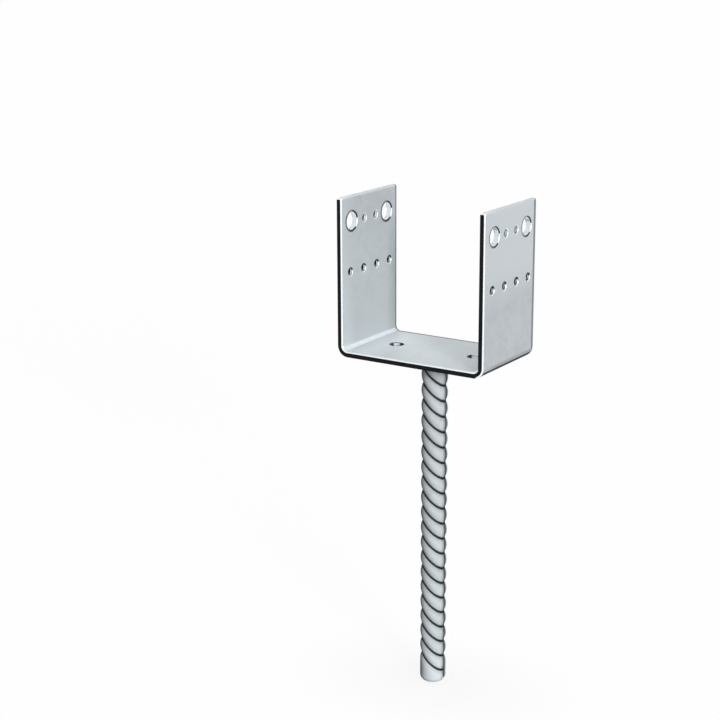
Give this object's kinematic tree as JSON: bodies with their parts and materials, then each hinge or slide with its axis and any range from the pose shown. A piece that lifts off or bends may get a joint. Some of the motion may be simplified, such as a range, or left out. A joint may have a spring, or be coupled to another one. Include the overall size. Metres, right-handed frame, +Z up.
{
  "type": "timber post base",
  "caption": "Galvanised steel post base: a U-shaped fork that holds a timber post, on a ribbed bar that is cast into a concrete footing.",
  "frame": {"origin": "centre of the post seat, which is the top face of the fork's base", "axes": "+Z up, out of the post seat and along the bar; X across the fork, from cheek to cheek; Y along the seat's depth"},
  "size_m": [0.13, 0.08, 0.4],
  "materials": {
    "galvanised_sheet": "hot-dip galvanised, satin, pale blue-grey",
    "galvanised_bar": "hot-dip galvanised ribbed bar, satin",
    "galvanised_weld": "galvanised fillet weld, rippled"
  },
  "bodies": {
    "root": {"fork": "galvanised_sheet", "anchor_bar": "galvanised_bar", "weld_bead": "galvanised_weld"}
  },
  "joints": []
}
